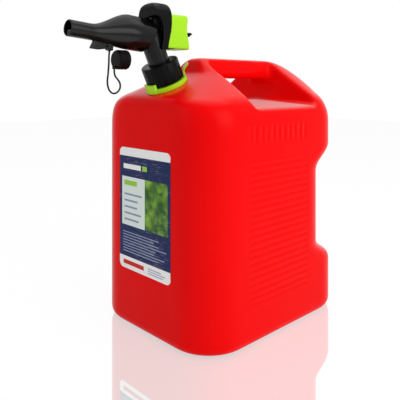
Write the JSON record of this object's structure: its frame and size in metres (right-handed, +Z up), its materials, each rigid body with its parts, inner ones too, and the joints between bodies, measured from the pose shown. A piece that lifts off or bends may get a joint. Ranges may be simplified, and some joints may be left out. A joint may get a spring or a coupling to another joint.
{
  "type": "gas can",
  "caption": "Red blow-moulded fuel can with a top carry handle and rear grip groove, fitted with a swivelling black pouring spout that opens when its green button is pressed.",
  "frame": {"origin": "on the floor, under the middle of the tank's base", "axes": "+Z up, the front wall with the label and the spout face -Y, +X to the right side of the picture's view"},
  "size_m": [0.24, 0.4172, 0.4533],
  "materials": {
    "tank_red": "satin blow-moulded polyethylene",
    "label_film": "printed film",
    "lime_plastic": "satin moulded plastic",
    "black_plastic": "fine moulded grain with soft gloss",
    "grey_plastic": "moulded",
    "white_plastic": "natural acetal",
    "seal_rubber": "smooth",
    "spring_steel": "drawn wire"
  },
  "bodies": {
    "tank": {"tank_shell": "tank_red", "front_label": "label_film", "lock_ring": "lime_plastic", "flame_arrestor": "grey_plastic"},
    "gasket": {"neck_gasket": "seal_rubber"},
    "spout": {"spout_elbow": "black_plastic", "nozzle_barrel": "black_plastic", "barrel_seal": "seal_rubber", "valve_seat": "white_plastic", "vent_tube": "grey_plastic", "stem_guide": "white_plastic", "stem_seal": "seal_rubber", "hood": "black_plastic", "return_spring": "spring_steel", "tether_pin": "black_plastic"},
    "collar": {"collar_nut": "black_plastic"},
    "trigger": {"trigger_button": "lime_plastic", "valve_stem": "spring_steel", "valve_plug": "white_plastic", "valve_seal": "seal_rubber", "spring_cup": "white_plastic", "catch_spring": "spring_steel"},
    "catch": {"safety_catch": "black_plastic"},
    "cap": {"tether_eye": "black_plastic", "cap_tether": "black_plastic", "nozzle_cap": "black_plastic"}
  },
  "joints": [
    {"name": "spout_lift_off", "type": "slide", "parent": "tank", "child": "gasket", "axis": [0, -0.4226, 0.9063], "range_m": [0, 0.07]},
    {"name": "spout_swivel", "type": "hinge", "parent": "gasket", "child": "spout", "pos_m": [0, -0.111, 0.33922], "axis": [0, -0.4226, 0.9063], "continuous": true},
    {"name": "collar_turn", "type": "hinge", "parent": "spout", "child": "collar", "pos_m": [0, -0.111, 0.33922], "axis": [0, -0.4226, 0.9063], "continuous": true},
    {"name": "trigger_press", "type": "slide", "parent": "spout", "child": "trigger", "axis": [0, -0.9962, 0.0872], "range_m": [0, 0.007], "stiffness_N_per_m": 900, "springref_m": -0.01, "deforming": ["return_spring"]},
    {"name": "catch_slide", "type": "slide", "parent": "trigger", "child": "catch", "axis": [0, 0, 1], "range_m": [0, 0.003], "stiffness_N_per_m": 250, "springref_m": -0.004, "deforming": ["catch_spring"]},
    {"name": "cap_swing", "type": "hinge", "parent": "spout", "child": "cap", "pos_m": [0, -0.20758, 0.38673], "axis": [1, 0, 0], "range_deg": [-45, 0]}
  ]
}
